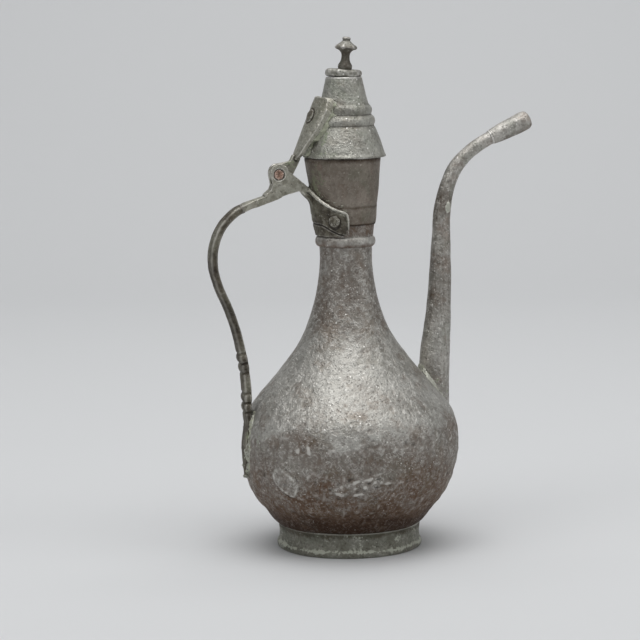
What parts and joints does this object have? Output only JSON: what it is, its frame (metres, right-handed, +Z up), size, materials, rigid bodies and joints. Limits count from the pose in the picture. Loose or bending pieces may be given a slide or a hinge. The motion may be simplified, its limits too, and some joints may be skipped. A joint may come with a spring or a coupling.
{
  "type": "turkish coffee pot",
  "caption": "Long-spouted ewer of tinned copper: round belly on a ring foot, slender neck, scrolled handle and a tall beaded cone lid with a knob, hinged at the top of the handle.",
  "frame": {"origin": "centre of the foot ring on the plane that the ewer stands on", "axes": "+Z up along the body's axis; the spout lies along +X, the handle along -X, and the lid's hinge pin along Y"},
  "size_m": [0.2175, 0.1422, 0.3308],
  "materials": {
    "tinned_copper": "beaten copper sheet with a worn grey coat of tin",
    "tinned_lid": "beaten copper sheet with a worn grey coat of tin",
    "patinated_foot": "old tinned copper with grey-green patina",
    "cast_bronze": "cast copper alloy, dulled and rubbed on its edges",
    "soft_solder": "dull lead-tin solder, lumpy",
    "copper_rivet": "bare copper, hammered over"
  },
  "bodies": {
    "ewer": {"belly_bowl": "tinned_copper", "shoulder_neck": "tinned_copper", "foot_ring": "patinated_foot", "foot_solder_seam": "soft_solder", "neck_ring": "tinned_copper", "mouth_collar": "tinned_copper", "spout_tube": "tinned_copper", "spout_nozzle": "cast_bronze", "spout_solder_seam": "soft_solder", "handle_bar": "cast_bronze", "handle_solder_pad": "soft_solder", "handle_yoke": "cast_bronze", "yoke_rivets": "copper_rivet", "hinge_pin": "copper_rivet"},
    "lid": {"lid_cone": "tinned_lid", "lid_bezel": "tinned_lid", "lid_top_disc": "tinned_lid", "finial": "tinned_lid", "finial_rove": "tinned_lid", "hinge_strap": "cast_bronze", "strap_rivet": "copper_rivet", "strap_solder": "soft_solder"}
  },
  "joints": [
    {"name": "lid_hinge", "type": "hinge", "parent": "ewer", "child": "lid", "pos_m": [-0.0445, 0, 0.244], "axis": [0, -1, 0], "range_deg": [0, 145]}
  ]
}
